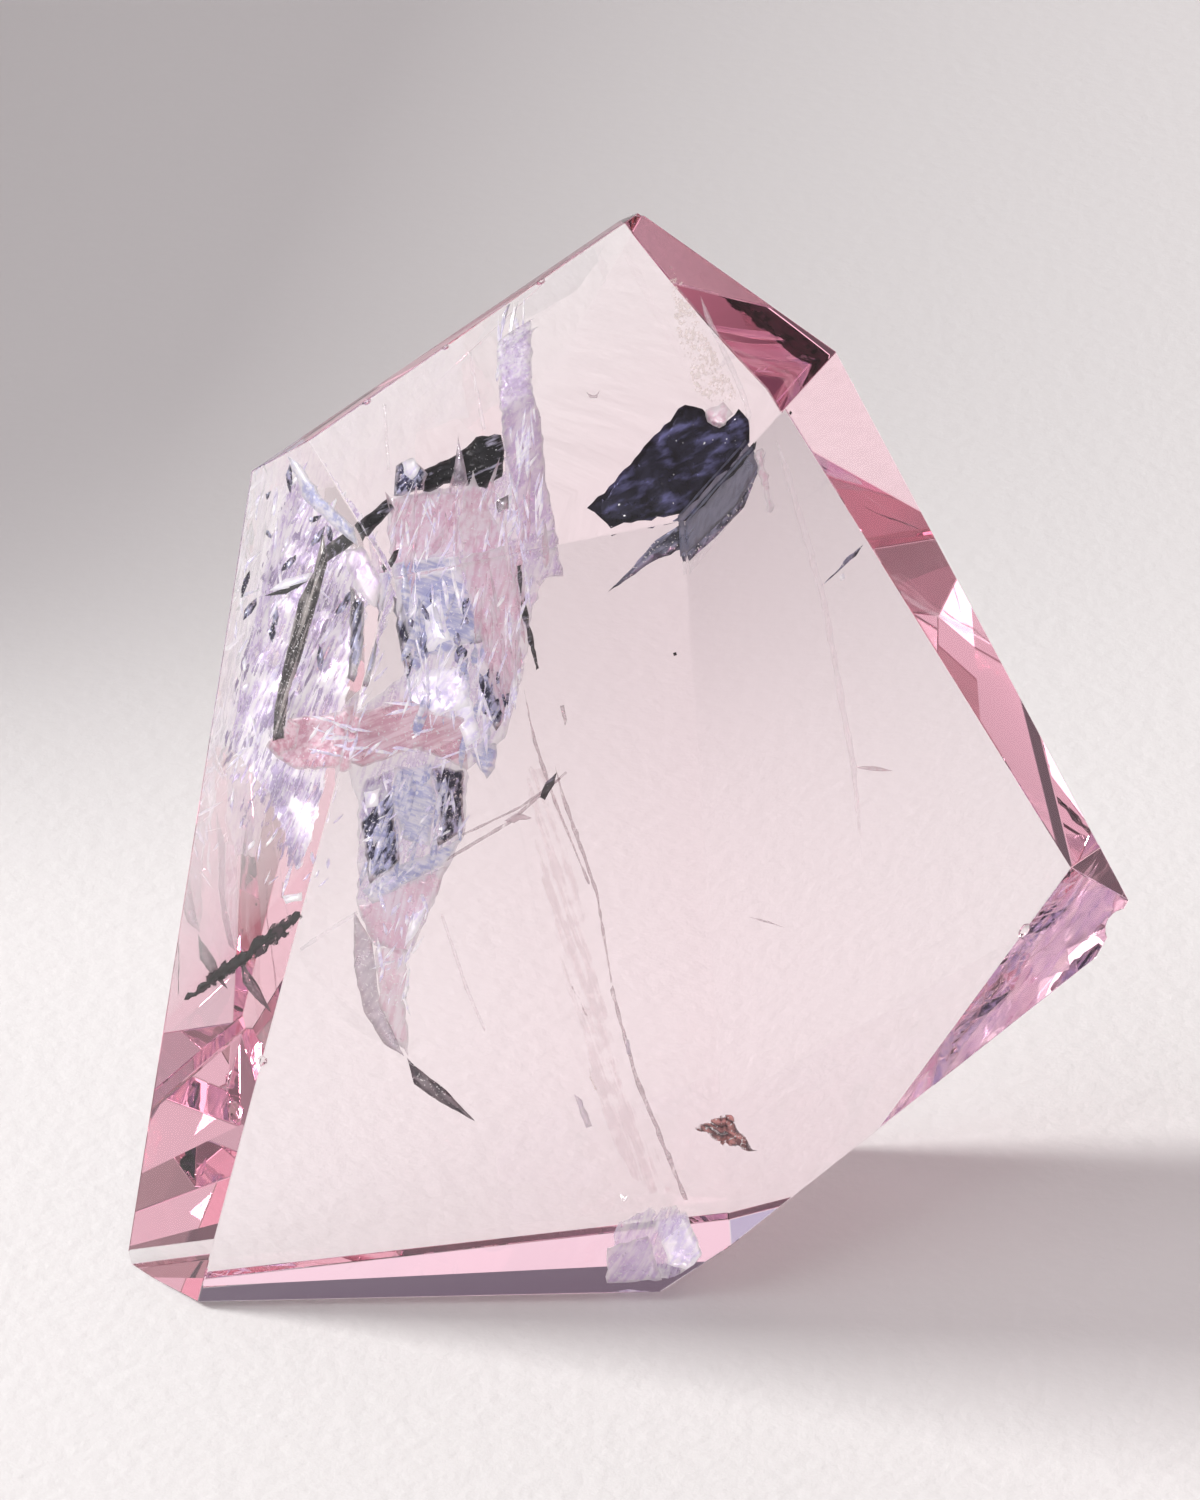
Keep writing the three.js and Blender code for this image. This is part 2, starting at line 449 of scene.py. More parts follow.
@dataclass
class Studio:
    """Camera, floor, soft light and surroundings."""

    camera_place: Triple = (-1.71, -314.70, 210.22)
    camera_pitch: float = 60.0
    lens: float = 163.4
    sensor: float = 36.0
    picture: tuple[int, int] = (1200, 1500)
    floor_size: float = 3.0
    floor_gap: float = 0.04 * MM
    view_range: tuple[float, float] = (0.01, 20.0)
    key_azimuth: float = -102.7
    key_elevation: float = 29.0
    key_distance: float = 1400.0
    key_size: float = 360.0
    key_power: float = 22.4
    key_colour: Triple = (1.0, 0.985, 0.965)
    flag_x: float = -150.0
    flag_tone: Triple = (0.03, 0.03, 0.032)
    flag_outline: Outline = ((58, 0), (64, 50), (76, 72), (106, 92), (200, 106), (700, 160), (700, 0))
    sky: tuple[tuple[float, Triple], ...] = (
        (0.0, (0.15, 0.14, 0.15)), (0.42, (0.19, 0.18, 0.20)), (0.54, (0.55, 0.53, 0.55)),
        (0.62, (0.86, 0.84, 0.86)), (0.86, (0.86, 0.84, 0.86)), (0.94, (0.40, 0.39, 0.41)),
        (1.0, (0.28, 0.27, 0.29)))
    glows: tuple[Glow, ...] = (
        Glow(75, 45, 66, (0.42, 0.36, 0.35)),
        Glow(-70, 50, 22, (2.4, 2.35, 2.45)),
        Glow(165, 41, 11, (1.0, 0.74, 0.84)),
        Glow(-165, 38, 7, (0.50, 0.46, 0.66)),
        Glow(180, 13, 8, (0.82, 0.76, 0.78)),
        Glow(94, 10, 16, (0.80, 0.77, 0.78)),
        Glow(170, 22, 6, (0.17, 0.13, 0.18)))
    glow_core: float = 0.6
    bounces: int = 96
    brightest_bounce: float = 40.0

    def build(self) -> None:
        """Makes the camera, the floor, the lights and the world."""
        self.place_camera()
        self.lay_floor()
        self.hang_key()
        self.stand_flag()
        self.light_surroundings()
        self.set_colour_view()

    def place_camera(self) -> None:
        """Stands the camera where the photograph was taken from."""
        data = bpy.data.cameras.new("camera")
        data.lens = self.lens
        data.sensor_width = self.sensor
        data.clip_start, data.clip_end = self.view_range
        camera = bpy.data.objects.new("camera", data)
        camera.location = Vector(self.camera_place) * MM
        camera.rotation_euler = (math.radians(self.camera_pitch), 0.0, 0.0)
        bpy.context.scene.collection.objects.link(camera)
        bpy.context.scene.camera = camera

    def lay_floor(self) -> None:
        """Lays the pale floor under the stone."""
        half = self.floor_size / 2
        corners = [(-half, -half, 0.0), (half, -half, 0.0), (half, half, 0.0), (-half, half, 0.0)]
        mesh = bpy.data.meshes.new("floor")
        mesh.from_pydata(corners, [], [(0, 1, 2, 3)])
        mesh.materials.append(Paper().material())
        floor = bpy.data.objects.new("floor", mesh)
        floor.location.z = -self.floor_gap
        bpy.context.scene.collection.objects.link(floor)

    def hang_key(self) -> None:
        """Hangs the low softbox at the left, slightly behind the stone."""
        data = bpy.data.lights.new("key", "AREA")
        data.size = self.key_size * MM
        data.energy = self.key_power
        data.color = self.key_colour
        way = facing(self.key_azimuth, self.key_elevation)
        light = bpy.data.objects.new("key", data)
        light.location = way * self.key_distance * MM
        light.rotation_euler = (-way).to_track_quat("-Z", "Y").to_euler()
        bpy.context.scene.collection.objects.link(light)

    def stand_flag(self) -> None:
        """Stands a dark card at the left, which shades the floor behind the stone."""
        corners = [Vector((self.flag_x, y, z)) * MM for y, z in self.flag_outline]
        mesh = bpy.data.meshes.new("flag")
        mesh.from_pydata(corners, [], [range(len(corners))])
        mesh.materials.append(Paper("dark_card", self.flag_tone).material())
        flag = bpy.data.objects.new("flag", mesh)
        flag.visible_camera = False
        bpy.context.scene.collection.objects.link(flag)

    def light_surroundings(self) -> None:
        """Fills the world with a dim soft grey and the glows that the facets mirror."""
        world = bpy.data.worlds.new("surroundings")
        world.use_nodes = True
        graph = Graph(world.node_tree)
        direction = graph.node("ShaderNodeTexCoord", out="Generated")
        height = graph.node("ShaderNodeSeparateXYZ", None, {0: direction}, out="Z")
        tone = graph.node("ShaderNodeValToRGB", {"stops": self.sky}, {"Fac": height})
        for glow in self.glows:
            nearness = graph.node("ShaderNodeVectorMath", {"operation": "DOT_PRODUCT"},
                                  {0: direction, 1: facing(glow.azimuth, glow.elevation)}, out="Value")
            rim, core = math.radians(glow.radius), math.radians(glow.radius * self.glow_core)
            share = nearness.band(math.cos(rim), math.cos(core))
            tone = graph.mix(share, tone, colour(*glow.tone))
        back = graph.node("ShaderNodeBackground", None, {"Color": tone, "Strength": 1.0})
        graph.node("ShaderNodeOutputWorld", None, {"Surface": back})
        bpy.context.scene.world = world

    def set_colour_view(self) -> None:
        """Shows colours plainly and lets light bounce often enough inside the stone."""
        scene = bpy.context.scene
        scene.view_settings.view_transform = "Standard"
        scene.cycles.max_bounces = self.bounces
        scene.cycles.transmission_bounces = self.bounces
        scene.cycles.glossy_bounces = self.bounces
        scene.cycles.transparent_max_bounces = self.bounces
        scene.cycles.sample_clamp_indirect = self.brightest_bounce


@dataclass
class Stone:
    """The clear stone itself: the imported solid, dressed."""

    edge_width: float = 0.06 * MM
    edge_segments: int = 2
    least_edge: float = math.radians(28.0)
    weld_gap: float = 0.001 * MM
    flat_limit: float = math.radians(0.3)

    def dress(self) -> bpy.types.Object:
        """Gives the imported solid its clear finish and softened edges.

        Returns:
            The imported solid.
        """
        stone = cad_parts[STONE_NODE]
        LOG.info("stone has %d vertices and %d faces", len(stone.data.vertices), len(stone.data.polygons))
        stone.data.materials.clear()
        stone.data.materials.append(ClearQuartz().material())
        weld = stone.modifiers.new("weld", "WELD")
        weld.merge_threshold = self.weld_gap
        flat = stone.modifiers.new("flat_facets", "DECIMATE")
        flat.decimate_type = "DISSOLVE"
        flat.angle_limit = self.flat_limit
        edge = stone.modifiers.new("soft_edges", "BEVEL")
        edge.width = self.edge_width
        edge.segments = self.edge_segments
        edge.limit_method = "ANGLE"
        edge.angle_limit = self.least_edge
        edge.use_clamp_overlap = False
        return stone


@dataclass(frozen=True)
class Patch:
    """One thin face inside the stone, outlined as the photograph shows it.

    The outline is in pixels of the picture. Depth is the share of the way through the stone from
    the facet that the face is seen through, and aim the azimuth and elevation that it faces.
    Relief is the height of its waves; ragged, fade and spacing are in pixels: how far its outline
    wanders, how far in the cover breaks up, and how far its points lie apart. A face that lies
    across the edge between two facets follows the lines of sight of both.
    """

    name: str
    look: Look
    outline: Outline
    depth: float = 0.2
    aim: tuple[float, float] = (0.0, 0.0)
    relief: float = 0.12 * MM
    ragged: float = 2.0
    fade: float = 0.0
    across: bool = False
    spacing: float = 7.0
    thickness: float = 0.02 * MM


@dataclass
class Sight:
    """Lines of sight of the photograph, bent where they enter the stone."""

    studio: Studio
    stone: bpy.types.Object
    least_facet: float = 4.0 * MM * MM
    margin: float = 0.3 * MM
    same_way: float = 0.99999
    same_reach: float = 0.01 * MM
    rounds: int = 4
    planes: list[tuple[Vector, float]] = field(default_factory=list)

    def __post_init__(self) -> None:
        """Collects the planes of the flat facets and leaves out those of the small nicks."""
        groups: list[list[Any]] = []
        for face in self.stone.data.polygons:
            reach = face.normal.dot(face.center)
            near = [group for group in groups
                    if group[0].dot(face.normal) > self.same_way and abs(group[1] - reach) < self.same_reach]
            if near:
                near[0][2] += face.area
            else:
                groups.append([face.normal.copy(), reach, face.area])
        self.planes = [(normal, reach) for normal, reach, area in groups if area > self.least_facet]
        LOG.info("%d facets bend the lines of sight", len(self.planes))

    def ray(self, spot: Spot) -> Vector:
        """Direction of the line of sight through a picture spot, outside the stone.

        Args:
            spot: place in the picture, in pixels.

        Returns:
            The unit direction away from the camera.
        """
        width, height = self.studio.picture
        focal = self.studio.lens / self.studio.sensor * max(width, height)
        way = Vector(((spot[0] - width / 2) / focal, (height / 2 - spot[1]) / focal, -1.0))
        way.rotate(Euler((math.radians(self.studio.camera_pitch), 0.0, 0.0)))
        return way.normalized()

    def facet(self, spot: Spot) -> tuple[Vector, float]:
        """Finds the front facet that a picture spot lies on.

        Args:
            spot: place in the picture, in pixels.

        Returns:
            Normal and reach of the facet.
        """
        eye, way = Vector(self.studio.camera_place) * MM, self.ray(spot)
        front = [plane for plane in self.planes if plane[0].dot(way) < 0.0]
        return max(front, key=lambda plane: (plane[1] - plane[0].dot(eye)) / plane[0].dot(way))

    def enter(self, spot: Spot, facet: tuple[Vector, float]) -> tuple[Vector, Vector]:
        """Where a line of sight enters through a facet and how it goes on.

        Args:
            spot: place in the picture.
            facet: normal and reach of the facet.

        Returns:
            The point on the facet and the direction inside the stone.
        """
        eye, way = Vector(self.studio.camera_place) * MM, self.ray(spot)
        normal, reach = facet
        point = eye + way * ((reach - normal.dot(eye)) / normal.dot(way))
        ratio = 1.0 / QUARTZ_INDEX
        lean = -normal.dot(way)
        bent = way * ratio + normal * (ratio * lean - math.sqrt(1.0 - ratio * ratio * (1.0 - lean * lean)))
        return point, bent.normalized()

    def thickness(self, point: Vector, way: Vector) -> float:
        """Way to the far side of the stone from a point inside."""
        return min((reach - normal.dot(point)) / normal.dot(way)
                   for normal, reach in self.planes if normal.dot(way) > NEARLY_ZERO)

    def kept_inside(self, point: Vector) -> Vector:
        """Moves a point under the polished faces where it would come too close to them.

        Args:
            point: a point in the stone or just outside it.

        Returns:
            The point itself, or the nearest one that keeps the margin.
        """
        for _ in range(self.rounds):
            for normal, reach in self.planes:
                over = normal.dot(point) - reach + self.margin
                if over > 0.0:
                    point = point - normal * over
        return point


def middle(outline: Outline) -> Spot:
    """The middle of the corners of an outline."""
    return (sum(spot[0] for spot in outline) / len(outline), sum(spot[1] for spot in outline) / len(outline))


def within(spot: Spot, outline: Outline) -> bool:
    """Tells whether a spot lies inside an outline.

    Args:
        spot: place in the picture.
        outline: corners of the outline.

    Returns:
        True where it does.
    """
    inside = False
    for (x0, y0), (x1, y1) in zip(outline, outline[1:] + outline[:1]):
        if (y0 > spot[1]) != (y1 > spot[1]) and spot[0] < (x1 - x0) * (spot[1] - y0) / (y1 - y0) + x0:
            inside = not inside
    return inside


def rim_distance(spot: Spot, outline: Outline) -> float:
    """Measures the distance from a spot to the nearest side of an outline.

    Args:
        spot: place in the picture.
        outline: corners of the outline.

    Returns:
        The distance in pixels.
    """
    here = Vector(spot)
    best = math.inf
    for start, end in zip(outline, outline[1:] + outline[:1]):
        side = Vector(end) - Vector(start)
        share = max(0.0, min(1.0, (here - Vector(start)).dot(side) / max(side.length_squared, NEARLY_ZERO)))
        best = min(best, (Vector(start) + side * share - here).length)
    return best


@dataclass(frozen=True)
class Wave:
    """A slow noise over the picture, by its layer, its waves per pixel and its height."""

    layer: float
    rate: float
    height: float

    def at(self, spot: Vector) -> float:
        """The height of the wave at a picture spot."""
        return self.height * noise.noise(Vector((spot.x, spot.y, self.layer)) * self.rate)


@dataclass
class Inclusions:
    """A group of thin faces inside the stone; each is one piece of mesh."""

    sight: Sight
    patches: tuple[Patch, ...] = ()
    edge_light: float = 5.0
    rim_wander: Wave = Wave(7.0, 0.11, 1.4)
    rim_fringe: Wave = Wave(3.0, 0.35, 0.8)
    swell: Wave = Wave(11.0, 0.028, 2.0)
    ripple: Wave = Wave(23.0, 0.09, 0.6)
    grid_shake: float = 0.2
    clear_of_rim: float = 0.45

    def build(self) -> None:
        """Builds and dresses every face of the group."""
        for patch in self.patches:
            face = self.lay(patch)
            LOG.info("%s has %d points", face.name, len(face.data.vertices))

    def roughened(self, patch: Patch) -> Outline:
        """Adds points along the sides of an outline and moves them a little, as a break runs.

        Args:
            patch: the face whose outline it is.

        Returns:
            The roughened outline.
        """
        spots = []
        for start, end in zip(patch.outline, patch.outline[1:] + patch.outline[:1]):
            side = Vector(end) - Vector(start)
            steps = max(1, round(side.length / patch.spacing))
            across = Vector((-side.y, side.x)).normalized()
            for step in range(steps):
                spot = Vector(start) + side * (step / steps)
                if step:
                    spot += across * patch.ragged * (self.rim_wander.at(spot) + self.rim_fringe.at(spot))
                spots.append((spot.x, spot.y))
        return tuple(spots)

    def filling(self, patch: Patch, outline: Outline) -> Iterator[Spot]:
        """Fills an outline with the spots of a shaken grid.

        Args:
            patch: the face that is filled.
            outline: its roughened outline.

        Yields:
            Spots that keep clear of the outline.
        """
        shaker = random.Random(patch.name)
        xs, ys = [spot[0] for spot in outline], [spot[1] for spot in outline]
        step = patch.spacing
        for row in range(int((max(ys) - min(ys)) / step) + 1):
            for column in range(int((max(xs) - min(xs)) / step) + 1):
                aside = column + 0.5 * (row % 2) + shaker.uniform(-self.grid_shake, self.grid_shake)
                down = row + shaker.uniform(-self.grid_shake, self.grid_shake)
                spot = (min(xs) + aside * step, min(ys) + down * step)
                if within(spot, outline) and rim_distance(spot, outline) > self.clear_of_rim * step:
                    yield spot

    def piece(self, name: str, look: Look, points: Sequence[Vector], faces: Sequence[Sequence[int]],
              rims: Sequence[float], edges: Sequence[float], thickness: float) -> bpy.types.Object:
        """Makes one dressed piece that rides the stone.

        Args:
            name: name of the piece.
            look: its finish.
            points: corners of its mesh.
            faces: corner numbers of each face.
            rims: rise from 0 at the outline to 1 inside, for each corner.
            edges: light of the broken edge, for each corner.
            thickness: thickness of the sheet.

        Returns:
            The piece.
        """
        mesh = bpy.data.meshes.new(name)
        mesh.from_pydata(points, [], faces)
        mesh.attributes.new("rim", "FLOAT", "POINT").data.foreach_set("value", rims)
        mesh.attributes.new("edge", "FLOAT", "POINT").data.foreach_set("value", edges)
        mesh.polygons.foreach_set("use_smooth", [True] * len(mesh.polygons))
        mesh.materials.append(look.value.material())
        made = bpy.data.objects.new(name, mesh)
        bpy.context.scene.collection.objects.link(made)
        sheet = made.modifiers.new("sheet", "SOLIDIFY")
        sheet.thickness = thickness
        sheet.offset = 0.0
        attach(made, BODY)
        return made

    def lay(self, patch: Patch) -> bpy.types.Object:
        """Lays one face along the lines of sight.

        Args:
            patch: the face's outline, depth and finish.

        Returns:
            The face as a thin closed piece.
        """
        outline = self.roughened(patch)
        spots = list(outline) + list(self.filling(patch, outline))
        flat, _, triangles, *_ = geometry.delaunay_2d_cdt(
            [Vector(spot) for spot in spots], [], [list(range(len(outline)))], 1, 1e-4)
        centre = middle(patch.outline)
        facet = self.sight.facet(centre)
        start, way = self.sight.enter(centre, facet)
        anchor = start + way * self.sight.thickness(start, way) * patch.depth
        normal = facing(*patch.aim)
        points, rims, edges = [], [], []
        for spot in flat:
            here = self.sight.facet((spot.x, spot.y)) if patch.across else facet
            start, way = self.sight.enter((spot.x, spot.y), here)
            depth = normal.dot(anchor - start) / normal.dot(way)
            point = start + way * (depth + patch.relief * (self.swell.at(spot) + self.ripple.at(spot)))
            points.append(self.sight.kept_inside(point))
            reach = rim_distance((spot.x, spot.y), outline)
            rims.append(min(1.0, reach / patch.fade) if patch.fade else 1.0)
            edges.append(max(0.0, 1.0 - reach / self.edge_light))
        return self.piece(patch.name, patch.look, points, triangles, rims, edges, patch.thickness)


@dataclass(frozen=True)
class Shower:
    """Many small splinters that fill an outlined part of a break.

    Lengths and widths are in pixels of the picture, heading is in degrees up from the picture's
    right, and tumble is how far, in degrees, each splinter is turned away from the aim.
    """

    name: str
    look: Look
    outline: Outline
    count: int
    length: tuple[float, float] = (14.0, 56.0)
    width: tuple[float, float] = (1.2, 4.5)
    heading: float = 82.0
    spread: float = 12.0
    depth: tuple[float, float] = (0.1, 0.2)
    aim: tuple[float, float] = (-30.0, 30.0)
    tumble: float = 16.0


@dataclass
class Splinters(Inclusions):
    """Showers of splinters, hackles and small steps over the breaks."""

    taper: tuple[Spot, ...] = (
        (-1.0, 0.1), (-0.55, -0.9), (0.15, -1.0), (1.0, -0.1), (0.5, 0.8), (-0.3, 1.0))
    showers: tuple[Shower, ...] = (
        Shower("top_hackles", Look.WHITE, (
            (392, 500), (456, 492), (498, 480), (512, 440), (540, 450), (552, 540), (462, 556), (394, 568)),
            count=60, length=(12.0, 50.0), width=(1.2, 4.5), heading=82.0, spread=16.0),
        Shower("top_pink_hackles", Look.PINK, (
            (392, 500), (470, 480), (520, 480), (552, 540), (394, 568)), count=36, length=(20.0, 60.0),
            width=(2.0, 6.0), heading=84.0, spread=10.0, aim=(0.0, 10.0)),
        Shower("ribbon_hackles", Look.WHITE, (
            (498, 310), (526, 304), (530, 380), (544, 440), (520, 470), (500, 400)), count=34,
            length=(20.0, 60.0), width=(1.5, 5.0), heading=86.0, spread=8.0),
        Shower("front_hackles", Look.WHITE, (
            (404, 590), (470, 570), (530, 560), (520, 690), (500, 735), (470, 760), (404, 750), (396, 700),
            (412, 660)), count=80, length=(14.0, 56.0), width=(1.2, 4.5), heading=82.0, spread=14.0),
        Shower("front_blue_hackles", Look.BLUE, (
            (404, 590), (464, 572), (484, 640), (500, 730), (470, 760), (408, 720)), count=30,
            length=(14.0, 50.0), width=(3.0, 9.0), heading=78.0, spread=16.0, aim=(-10.0, 14.0)),
        Shower("front_pink_hackles", Look.PINK, (
            (464, 572), (526, 556), (522, 680), (500, 720), (480, 640)), count=34, length=(24.0, 70.0),
            width=(2.0, 6.0), heading=98.0, spread=10.0, aim=(0.0, 8.0)),
        Shower("front_ink", Look.INK, (
            (398, 600), (470, 590), (508, 680), (496, 730), (440, 700), (404, 670)), count=20,
            length=(8.0, 26.0), width=(2.0, 7.0), heading=84.0, spread=20.0),
        Shower("pane_hackles", Look.BLUE, (
            (364, 780), (464, 768), (462, 832), (402, 870), (362, 890)), count=30, length=(16.0, 56.0),
            width=(2.0, 7.0), heading=74.0, spread=12.0),
        Shower("pane_glints", Look.WHITE, (
            (360, 786), (464, 768), (464, 836), (404, 880), (360, 900)), count=30, length=(6.0, 26.0),
            width=(1.2, 4.0), heading=64.0, spread=26.0),
        Shower("shard_hackles", Look.WHITE, (
            (358, 904), (446, 868), (420, 930), (408, 1010), (396, 1030), (372, 944)), count=30,
            length=(8.0, 34.0), width=(1.2, 4.5), heading=76.0, spread=20.0),
        Shower("left_hackles", Look.WHITE, (
            (256, 480), (298, 458), (356, 540), (382, 586), (350, 700), (300, 712), (236, 690), (228, 620)),
            count=44, length=(8.0, 44.0), width=(1.2, 5.0), heading=70.0, spread=20.0, depth=(0.2, 0.4),
            aim=(-50.0, 32.0)),
        Shower("left_ink", Look.INK, (
            (262, 500), (300, 470), (360, 590), (350, 690), (300, 700), (232, 640)), count=18,
            length=(8.0, 30.0), width=(3.0, 9.0), heading=66.0, spread=30.0, depth=(0.2, 0.4),
            aim=(-44.0, 10.0)),
        Shower("left_low_hackles", Look.WHITE, (
            (222, 700), (300, 770), (330, 790), (316, 880), (270, 890), (220, 790)), count=20,
            length=(8.0, 36.0), width=(1.2, 4.5), heading=66.0, spread=22.0, depth=(0.2, 0.4),
            aim=(-50.0, 32.0)),
        Shower("ledge_glints", Look.WHITE, (
            (290, 722), (410, 702), (464, 722), (464, 764), (300, 764)), count=26, length=(10.0, 44.0),
            width=(1.5, 4.0), heading=20.0, spread=20.0))

    taper_shake: Spot = (0.2, 0.3)
    splinter_thickness: float = 0.01 * MM

    def build(self) -> None:
        """Builds every shower as one piece."""
        for shower in self.showers:
            made = self.scatter(shower)
            LOG.info("%s has %d points", made.name, len(made.data.vertices))

    def splinter(self, shower: Shower, shaker: random.Random) -> list[Spot]:
        """Shapes one splinter at a random place in its shower.

        Args:
            shower: the shower that it belongs to.
            shaker: source of the random draws.

        Returns:
            The outline of the splinter.
        """
        xs, ys = [spot[0] for spot in shower.outline], [spot[1] for spot in shower.outline]
        centre = (shaker.uniform(min(xs), max(xs)), shaker.uniform(min(ys), max(ys)))
        while not within(centre, shower.outline):
            centre = (shaker.uniform(min(xs), max(xs)), shaker.uniform(min(ys), max(ys)))
        turn = math.radians(shower.heading + shaker.gauss(0.0, shower.spread))
        along, across = Vector((math.cos(turn), -math.sin(turn))), Vector((math.sin(turn), math.cos(turn)))
        half_length, half_width = shaker.uniform(*shower.length) / 2, shaker.uniform(*shower.width) / 2
        long_shake, wide_shake = self.taper_shake
        spots = [Vector(centre) + along * half_length * (u + shaker.uniform(-long_shake, long_shake))
                 + across * half_width * (v + shaker.uniform(-wide_shake, wide_shake)) for u, v in self.taper]
        return [(spot.x, spot.y) for spot in spots]

    def scatter(self, shower: Shower) -> bpy.types.Object:
        """Lays the splinters of one shower along the lines of sight.

        Args:
            shower: where the splinters lie and how they are shaped.

        Returns:
            All of them as one piece.
        """
        shaker = random.Random(shower.name)
        facet = self.sight.facet(middle(shower.outline))
        points: list[Vector] = []
        faces: list[list[int]] = []
        for _ in range(shower.count):
            outline = self.splinter(shower, shaker)
            start, way = self.sight.enter(middle(tuple(outline)), facet)
            anchor = start + way * self.sight.thickness(start, way) * shaker.uniform(*shower.depth)
            normal = facing(*(angle + shaker.gauss(0.0, shower.tumble) for angle in shower.aim))
            first = len(points)
            for spot in outline:
                start, way = self.sight.enter(spot, facet)
                point = start + way * (normal.dot(anchor - start) / normal.dot(way))
                points.append(self.sight.kept_inside(point))
            faces.append(list(range(first, first + len(outline))))
        rims, edges = [1.0] * len(points), [0.0] * len(points)
        return self.piece(shower.name, shower.look, points, faces, rims, edges, self.splinter_thickness)


